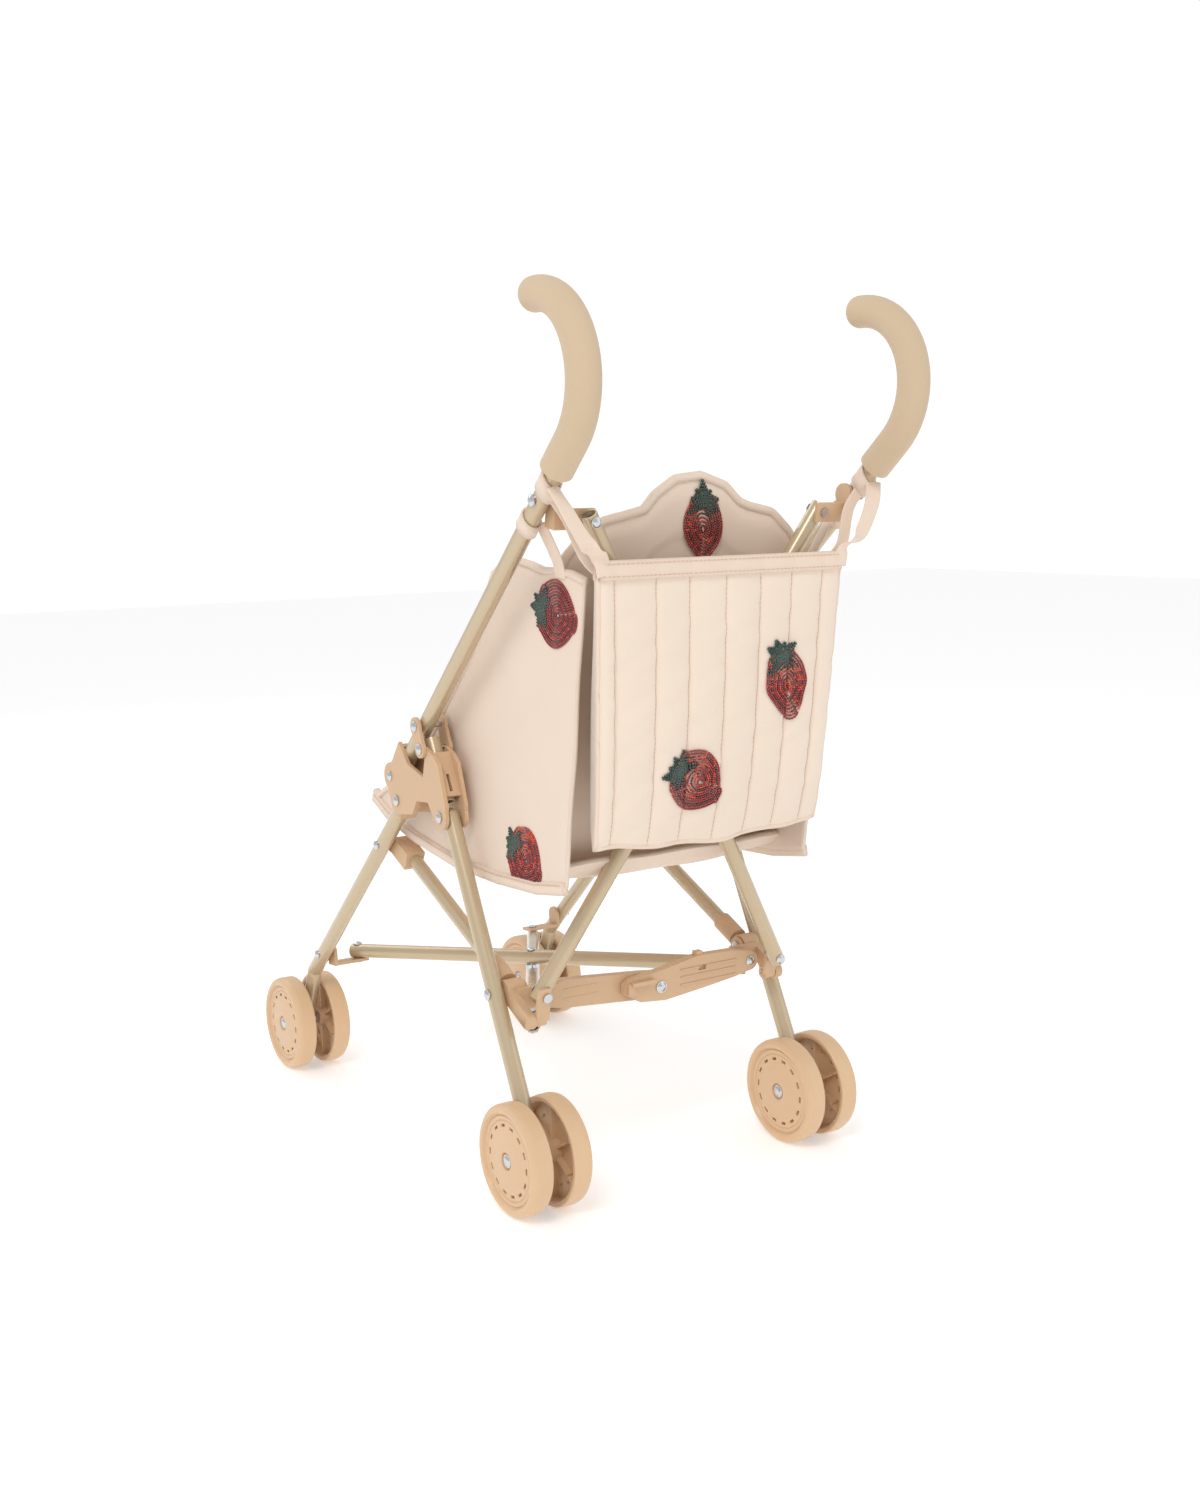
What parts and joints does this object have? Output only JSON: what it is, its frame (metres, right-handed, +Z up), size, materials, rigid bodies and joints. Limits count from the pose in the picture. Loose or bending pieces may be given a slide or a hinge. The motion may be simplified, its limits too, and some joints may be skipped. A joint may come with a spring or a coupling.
{
  "type": "doll stroller",
  "caption": "folding doll stroller with champagne tube frame, peach plastic joints and twin wheels, beige fabric seat sling and quilted rear bag",
  "frame": {"origin": "on the floor, under the middle of the overall box", "axes": "+X is the pusher's left side, +Y is the rear (handle side), +Z is up"},
  "size_m": [0.2578, 0.4794, 0.5561],
  "materials": {
    "tube_paint": "glossy champagne paint",
    "joint_plastic": "satin peach plastic",
    "wheel_plastic": "satin peach plastic",
    "grip_foam": "matte foam",
    "rivet_steel": "polished",
    "seat_cotton": "plain cotton",
    "bag_cotton": "quilted cotton"
  },
  "bodies": {
    "frame_left": {"hub_bracket_left": "joint_plastic", "handle_tube_left": "tube_paint", "grip_left": "grip_foam", "hub_brace_left": "tube_paint", "link_plates_left": "joint_plastic", "frame_rivets_left": "rivet_steel", "seat_sling": "seat_cotton", "storage_bag": "bag_cotton"},
    "rear_leg_left": {"rear_leg_left": "tube_paint", "rear_leg_rivets_left": "rivet_steel", "rear_axle_left": "rivet_steel"},
    "front_leg_left": {"front_leg_left": "tube_paint", "front_leg_rivets_left": "rivet_steel", "front_axle_left": "rivet_steel"},
    "side_frame_left": {"seat_tube_left": "tube_paint", "seat_tube_clevis_left": "joint_plastic", "corner_bracket_left": "joint_plastic"},
    "lower_rear_clevis_left": {"lower_rear_clevis_left": "joint_plastic"},
    "lower_front_clevis_left": {"lower_front_clevis_left": "joint_plastic"},
    "back_swivel_left": {"back_swivel_left": "joint_plastic"},
    "upper_bracket_left": {"upper_bracket_left": "joint_plastic"},
    "lock_arm_left": {"lock_arm_left": "joint_plastic", "lock_rivets_left": "rivet_steel"},
    "wheel_front_left_outer": {"wheel_front_left_outer": "wheel_plastic"},
    "wheel_front_left_inner": {"wheel_front_left_inner": "wheel_plastic"},
    "wheel_rear_left_outer": {"wheel_rear_left_outer": "wheel_plastic"},
    "wheel_rear_left_inner": {"wheel_rear_left_inner": "wheel_plastic"},
    "frame_right": {"hub_bracket_right": "joint_plastic", "handle_tube_right": "tube_paint", "grip_right": "grip_foam", "hub_brace_right": "tube_paint", "link_plates_right": "joint_plastic", "frame_rivets_right": "rivet_steel"},
    "rear_leg_right": {"rear_leg_right": "tube_paint", "rear_leg_rivets_right": "rivet_steel", "rear_axle_right": "rivet_steel"},
    "front_leg_right": {"front_leg_right": "tube_paint", "front_leg_rivets_right": "rivet_steel", "front_axle_right": "rivet_steel"},
    "side_frame_right": {"seat_tube_right": "tube_paint", "seat_tube_clevis_right": "joint_plastic", "corner_bracket_right": "joint_plastic"},
    "lower_rear_clevis_right": {"lower_rear_clevis_right": "joint_plastic"},
    "lower_front_clevis_right": {"lower_front_clevis_right": "joint_plastic"},
    "back_swivel_right": {"back_swivel_right": "joint_plastic"},
    "upper_bracket_right": {"upper_bracket_right": "joint_plastic"},
    "lock_arm_right": {"lock_arm_right": "joint_plastic", "lock_rivets_right": "rivet_steel"},
    "wheel_front_right_outer": {"wheel_front_right_outer": "wheel_plastic"},
    "wheel_front_right_inner": {"wheel_front_right_inner": "wheel_plastic"},
    "wheel_rear_right_outer": {"wheel_rear_right_outer": "wheel_plastic"},
    "wheel_rear_right_inner": {"wheel_rear_right_inner": "wheel_plastic"},
    "lower_brace_a": {"lower_brace_a": "tube_paint", "lower_brace_rivets_a": "rivet_steel"},
    "back_brace_a": {"back_brace_a": "tube_paint", "back_brace_rivets_a": "rivet_steel"},
    "lower_brace_b": {"lower_brace_b": "tube_paint", "lower_brace_rivets_b": "rivet_steel"},
    "back_brace_b": {"back_brace_b": "tube_paint", "back_brace_rivets_b": "rivet_steel"}
  },
  "joints": [
    {"name": "fold", "type": "hinge", "parent": "frame_left", "child": "rear_leg_left", "pos_m": [0.106, 0.04275, 0.23273], "axis": [-1, 0, 0], "range_deg": [0, 36.97], "deforming": ["seat_sling", "storage_bag"]},
    {"name": "front_leg_left_pivot", "type": "hinge", "parent": "frame_left", "child": "front_leg_left", "pos_m": [0.106, -0.01795, 0.23533], "axis": [-1, 0, 0], "range_deg": [0, 71.12]},
    {"name": "side_frame_left_pivot", "type": "hinge", "parent": "rear_leg_left", "child": "side_frame_left", "pos_m": [0.092, 0.09448, 0.12668], "axis": [1, 0, 0], "range_deg": [0, 2.99]},
    {"name": "lower_rear_clevis_left_pivot", "type": "hinge", "parent": "rear_leg_left", "child": "lower_rear_clevis_left", "pos_m": [0.086, 0.09448, 0.12668], "axis": [-1, 0, 0], "range_deg": [0, 14.01]},
    {"name": "lower_brace_b_pivot", "type": "hinge", "parent": "lower_rear_clevis_left", "child": "lower_brace_b", "pos_m": [0.078, 0.092, 0.10841], "axis": [0, -0.084, 0.9965], "range_deg": [0, 27.95]},
    {"name": "lower_brace_cross", "type": "hinge", "parent": "lower_brace_b", "child": "lower_brace_a", "pos_m": [0, -0.03756, 0.09748], "axis": [0, 0.084, -0.9965], "range_deg": [0, 55.89]},
    {"name": "lower_rear_clevis_right_pivot", "type": "hinge", "parent": "lower_brace_a", "child": "lower_rear_clevis_right", "pos_m": [-0.078, 0.092, 0.10841], "axis": [0, -0.084, 0.9965], "range_deg": [0, 27.95]},
    {"name": "lower_front_clevis_right_pivot", "type": "hinge", "parent": "lower_brace_b", "child": "lower_front_clevis_right", "pos_m": [-0.078, -0.16712, 0.08656], "axis": [0, 0.084, -0.9965], "range_deg": [0, 27.95]},
    {"name": "lower_front_clevis_left_pivot", "type": "hinge", "parent": "lower_brace_a", "child": "lower_front_clevis_left", "pos_m": [0.078, -0.16712, 0.08656], "axis": [0, -0.084, 0.9965], "range_deg": [0, 27.95]},
    {"name": "rear_leg_right_pivot", "type": "hinge", "parent": "lower_rear_clevis_right", "child": "rear_leg_right", "pos_m": [-0.086, 0.09448, 0.12668], "axis": [1, 0, 0], "range_deg": [0, 14.01]},
    {"name": "side_frame_right_pivot", "type": "hinge", "parent": "rear_leg_right", "child": "side_frame_right", "pos_m": [-0.092, 0.09448, 0.12668], "axis": [1, 0, 0], "range_deg": [0, 2.99]},
    {"name": "hub_right_pivot", "type": "hinge", "parent": "rear_leg_right", "child": "frame_right", "pos_m": [-0.106, 0.04275, 0.23273], "axis": [1, 0, 0], "range_deg": [0, 36.99]},
    {"name": "front_leg_right_pivot", "type": "hinge", "parent": "frame_right", "child": "front_leg_right", "pos_m": [-0.106, -0.01795, 0.23533], "axis": [-1, 0, 0], "range_deg": [0, 71.12]},
    {"name": "back_swivel_left_hinge", "type": "hinge", "parent": "side_frame_left", "child": "back_swivel_left", "pos_m": [0.092, 0.12147, 0.11368], "axis": [1, 0, 0], "range_deg": [0, 21.52]},
    {"name": "back_brace_a_pivot", "type": "hinge", "parent": "back_swivel_left", "child": "back_brace_a", "pos_m": [0.08832, 0.12733, 0.12887], "axis": [0, 0.9834, -0.1815], "range_deg": [0, 24.51]},
    {"name": "back_brace_cross", "type": "hinge", "parent": "back_brace_a", "child": "back_brace_b", "pos_m": [0, 0.1545, 0.27605], "axis": [0, -0.9834, 0.1815], "range_deg": [0, 49.01]},
    {"name": "upper_bracket_right_pivot", "type": "hinge", "parent": "back_brace_a", "child": "upper_bracket_right", "pos_m": [-0.08832, 0.18167, 0.42323], "axis": [0, -0.9834, 0.1815], "range_deg": [0, 24.51]},
    {"name": "upper_bracket_left_pivot", "type": "hinge", "parent": "back_brace_b", "child": "upper_bracket_left", "pos_m": [0.08832, 0.18167, 0.42323], "axis": [0, 0.9834, -0.1815], "range_deg": [0, 24.51]},
    {"name": "back_swivel_right_pivot", "type": "hinge", "parent": "back_brace_b", "child": "back_swivel_right", "pos_m": [-0.08832, 0.12733, 0.12887], "axis": [0, 0.9834, -0.1815], "range_deg": [0, 24.51]},
    {"name": "lock_arm_left_pivot", "type": "hinge", "parent": "side_frame_left", "child": "lock_arm_left", "pos_m": [0.078, 0.10218, 0.123], "axis": [0, -1, 0], "range_deg": [0, 80.02]},
    {"name": "lock_arm_right_pivot", "type": "hinge", "parent": "side_frame_right", "child": "lock_arm_right", "pos_m": [-0.078, 0.10218, 0.123], "axis": [0, 1, 0], "range_deg": [0, 80.02]},
    {"name": "wheel_front_left_outer_spin", "type": "hinge", "parent": "front_leg_left", "child": "wheel_front_left_outer", "pos_m": [0.12035, -0.20481, 0.035], "axis": [1, 0, 0], "continuous": true},
    {"name": "wheel_front_left_inner_spin", "type": "hinge", "parent": "front_leg_left", "child": "wheel_front_left_inner", "pos_m": [0.09165, -0.20481, 0.035], "axis": [1, 0, 0], "continuous": true},
    {"name": "wheel_rear_left_outer_spin", "type": "hinge", "parent": "rear_leg_left", "child": "wheel_rear_left_outer", "pos_m": [0.12035, 0.13919, 0.035], "axis": [1, 0, 0], "continuous": true},
    {"name": "wheel_rear_left_inner_spin", "type": "hinge", "parent": "rear_leg_left", "child": "wheel_rear_left_inner", "pos_m": [0.09165, 0.13919, 0.035], "axis": [1, 0, 0], "continuous": true},
    {"name": "wheel_front_right_outer_spin", "type": "hinge", "parent": "front_leg_right", "child": "wheel_front_right_outer", "pos_m": [-0.12035, -0.20481, 0.035], "axis": [1, 0, 0], "continuous": true},
    {"name": "wheel_front_right_inner_spin", "type": "hinge", "parent": "front_leg_right", "child": "wheel_front_right_inner", "pos_m": [-0.09165, -0.20481, 0.035], "axis": [1, 0, 0], "continuous": true},
    {"name": "wheel_rear_right_outer_spin", "type": "hinge", "parent": "rear_leg_right", "child": "wheel_rear_right_outer", "pos_m": [-0.12035, 0.13919, 0.035], "axis": [1, 0, 0], "continuous": true},
    {"name": "wheel_rear_right_inner_spin", "type": "hinge", "parent": "rear_leg_right", "child": "wheel_rear_right_inner", "pos_m": [-0.09165, 0.13919, 0.035], "axis": [1, 0, 0], "continuous": true}
  ],
  "couplings": [
    {"joint": "front_leg_left_pivot", "follows": "fold", "ratio": 1.9232},
    {"joint": "side_frame_left_pivot", "follows": "fold", "ratio": 0.080255},
    {"joint": "lower_rear_clevis_left_pivot", "follows": "fold", "ratio": 0.37847},
    {"joint": "lower_brace_b_pivot", "follows": "fold", "ratio": 0.75562},
    {"joint": "lower_brace_cross", "follows": "fold", "ratio": 1.5112},
    {"joint": "lower_rear_clevis_right_pivot", "follows": "fold", "ratio": 0.75562},
    {"joint": "lower_front_clevis_right_pivot", "follows": "fold", "ratio": 0.75562},
    {"joint": "lower_front_clevis_left_pivot", "follows": "fold", "ratio": 0.75562},
    {"joint": "rear_leg_right_pivot", "follows": "fold", "ratio": 0.37847},
    {"joint": "side_frame_right_pivot", "follows": "fold", "ratio": 0.080255},
    {"joint": "hub_right_pivot", "follows": "fold", "ratio": 1},
    {"joint": "front_leg_right_pivot", "follows": "fold", "ratio": 1.9232},
    {"joint": "back_swivel_left_hinge", "follows": "fold", "ratio": 0.58146},
    {"joint": "back_brace_a_pivot", "follows": "fold", "ratio": 0.66253},
    {"joint": "back_brace_cross", "follows": "fold", "ratio": 1.3251},
    {"joint": "upper_bracket_right_pivot", "follows": "fold", "ratio": 0.66253},
    {"joint": "upper_bracket_left_pivot", "follows": "fold", "ratio": 0.66253},
    {"joint": "back_swivel_right_pivot", "follows": "fold", "ratio": 0.66253},
    {"joint": "lock_arm_left_pivot", "follows": "fold", "ratio": 2.1639},
    {"joint": "lock_arm_right_pivot", "follows": "fold", "ratio": 2.1639}
  ]
}
